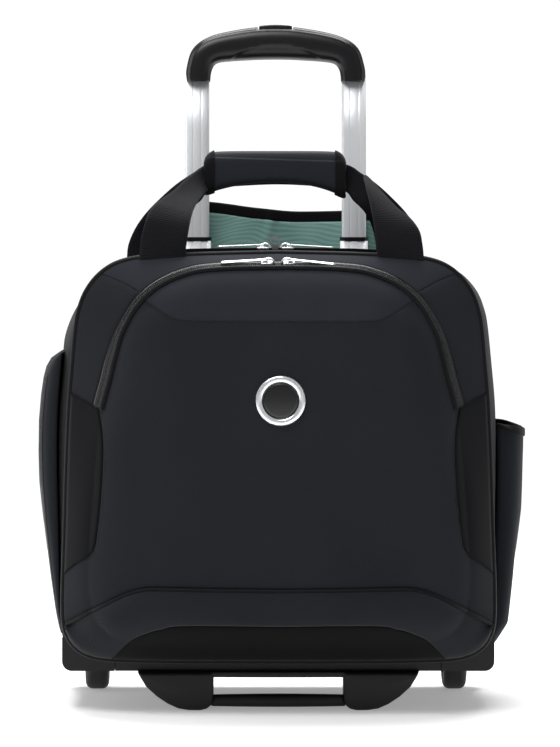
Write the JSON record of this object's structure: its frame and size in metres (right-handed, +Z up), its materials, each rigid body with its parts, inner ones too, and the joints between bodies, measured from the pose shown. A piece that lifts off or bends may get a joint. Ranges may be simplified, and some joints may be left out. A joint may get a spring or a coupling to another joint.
{
  "type": "rolling case",
  "caption": "Soft rolling under-seat case with a front-opening lid, a zipped front pocket, side pockets, carry straps and a telescopic pull handle.",
  "frame": {"origin": "middle of the footprint, on the floor", "axes": "+X to the right seen from the front, the front faces -Y, +Z up"},
  "size_m": [0.4068, 0.234, 0.5685],
  "materials": {
    "body_twill": "black polyester twill with a low sheen",
    "plain_panel": "plain dense black polyester",
    "lining": "thin teal lining with a fine wavy weave",
    "back_panel": "black polyester behind, teal lining in front",
    "webbing": "ribbed black webbing",
    "grip_fabric": "smooth padded black fabric",
    "zip_tape": "woven zip tape with coil teeth",
    "piping": "piping cord covered in black tape",
    "black_plastic": "fine moulded grain",
    "screw_steel": "plain steel",
    "tube_aluminium": "bright satin anodised, fluted front",
    "zip_metal": "bright plated",
    "badge_inlay": "dark, finely textured",
    "tyre_rubber": "smooth soft tread",
    "hub_plastic": "moulded"
  },
  "bodies": {
    "case": {"case_gusset": "body_twill", "case_top": "body_twill", "back_wall": "plain_panel", "case_lining": "lining", "base_tray": "black_plastic", "corner_guard_left": "black_plastic", "corner_guard_right": "black_plastic", "front_stand": "black_plastic", "base_screws": "screw_steel", "rear_panel": "back_panel", "rear_panel_binding": "webbing", "outer_tubes": "tube_aluminium", "tube_brackets": "black_plastic", "main_zip_case_side": "zip_tape", "lock_eyelet": "zip_metal", "left_pocket": "body_twill", "left_pocket_zip": "zip_tape", "right_pocket": "body_twill", "hinge_strip": "plain_panel", "axles": "screw_steel"},
    "rear_handle": {"rear_strap": "webbing"},
    "lid": {"lid_frame": "black_plastic", "lid_divider": "lining", "main_piping": "piping", "main_zip_lid_side": "zip_tape", "lid_top_gusset": "body_twill", "lid_side_gussets": "body_twill", "lid_wings": "plain_panel", "lid_front_panel": "body_twill", "bumper_pad": "body_twill", "bumper_insert": "plain_panel", "lower_piping": "piping", "front_zip_lid_side": "zip_tape"},
    "front_handle": {"front_strap": "webbing", "grip_wrap": "grip_fabric"},
    "pocket_flap": {"flap_yoke": "body_twill", "flap_panel": "body_twill", "flap_piping": "piping", "front_zip_flap_side": "zip_tape", "emblem_ring": "zip_metal", "emblem_inlay": "badge_inlay"},
    "middle_stage": {"mid_tubes": "tube_aluminium", "mid_collars": "black_plastic"},
    "pull_handle": {"inner_tubes": "tube_aluminium", "grip_body": "black_plastic", "grip_cover": "black_plastic", "button_spring": "screw_steel"},
    "release_button": {"release_button": "black_plastic"},
    "wheel_left": {"tyre_left": "tyre_rubber", "hub_left": "hub_plastic"},
    "wheel_right": {"tyre_right": "tyre_rubber", "hub_right": "hub_plastic"},
    "main_slider_left": {"main_slider_left": "zip_metal"},
    "main_slider_right": {"main_slider_right": "zip_metal"},
    "main_tab_left": {"main_tab_left": "zip_metal"},
    "main_tab_right": {"main_tab_right": "zip_metal"},
    "front_slider_left": {"front_slider_left": "zip_metal"},
    "front_slider_right": {"front_slider_right": "zip_metal"},
    "front_tab_left": {"front_tab_left": "zip_metal"},
    "front_tab_right": {"front_tab_right": "zip_metal"}
  },
  "joints": [
    {"name": "left_wheel_spin", "type": "hinge", "parent": "case", "child": "wheel_left", "pos_m": [-0.1523, 0.09, 0.025], "axis": [1, 0, 0], "continuous": true},
    {"name": "right_wheel_spin", "type": "hinge", "parent": "case", "child": "wheel_right", "pos_m": [0.1523, 0.09, 0.025], "axis": [1, 0, 0], "continuous": true},
    {"name": "middle_stage_slide", "type": "slide", "parent": "case", "child": "middle_stage", "axis": [0, 0, 1], "range_m": [0, 0.255]},
    {"name": "pull_handle_slide", "type": "slide", "parent": "middle_stage", "child": "pull_handle", "axis": [0, 0, 1], "range_m": [-0.13, 0.165]},
    {"name": "release_button_press", "type": "slide", "parent": "pull_handle", "child": "release_button", "axis": [0, 0, -1], "range_m": [0, 0.003], "stiffness_N_per_m": 300, "springref_m": -0.002, "deforming": ["button_spring"]},
    {"name": "main_lid_open", "type": "hinge", "parent": "case", "child": "lid", "pos_m": [0, -0.06, 0.044], "axis": [1, 0, 0], "range_deg": [0, 62]},
    {"name": "front_pocket_open", "type": "hinge", "parent": "lid", "child": "pocket_flap", "pos_m": [0, -0.1115, 0.232], "axis": [1, 0, 0], "range_deg": [0, 60]},
    {"name": "front_handle_swing", "type": "hinge", "parent": "lid", "child": "front_handle", "pos_m": [0, -0.0676, 0.3745], "axis": [1, 0, 0], "range_deg": [0, 85]},
    {"name": "rear_handle_swing", "type": "hinge", "parent": "case", "child": "rear_handle", "pos_m": [0, 0.07, 0.376], "axis": [-1, 0, 0], "range_deg": [0, 25]},
    {"name": "main_zip_left", "type": "hinge", "parent": "case", "child": "main_slider_left", "pos_m": [0, -0.055, -0.524], "axis": [0, -1, 0], "range_deg": [0, 6]},
    {"name": "main_zip_right", "type": "hinge", "parent": "case", "child": "main_slider_right", "pos_m": [0, -0.055, -0.524], "axis": [0, 1, 0], "range_deg": [0, 6]},
    {"name": "main_tab_left_lift", "type": "hinge", "parent": "main_slider_left", "child": "main_tab_left", "pos_m": [-0.0125, -0.055, 0.37995], "axis": [0, 1, 0], "range_deg": [0, 45]},
    {"name": "main_tab_right_lift", "type": "hinge", "parent": "main_slider_right", "child": "main_tab_right", "pos_m": [0.0078, -0.055, 0.37995], "axis": [0, -1, 0], "range_deg": [0, 45]},
    {"name": "front_zip_left", "type": "slide", "parent": "lid", "child": "front_slider_left", "axis": [-1, 0, 0], "range_m": [0, 0.04]},
    {"name": "front_zip_right", "type": "slide", "parent": "lid", "child": "front_slider_right", "axis": [1, 0, 0], "range_m": [0, 0.04]},
    {"name": "front_tab_left_lift", "type": "hinge", "parent": "front_slider_left", "child": "front_tab_left", "pos_m": [-0.0098, -0.08614, 0.36922], "axis": [0, 0.8746, 0.4848], "range_deg": [0, 85]},
    {"name": "front_tab_right_lift", "type": "hinge", "parent": "front_slider_right", "child": "front_tab_right", "pos_m": [0.0082, -0.08614, 0.36922], "axis": [0, -0.8746, -0.4848], "range_deg": [0, 85]}
  ]
}
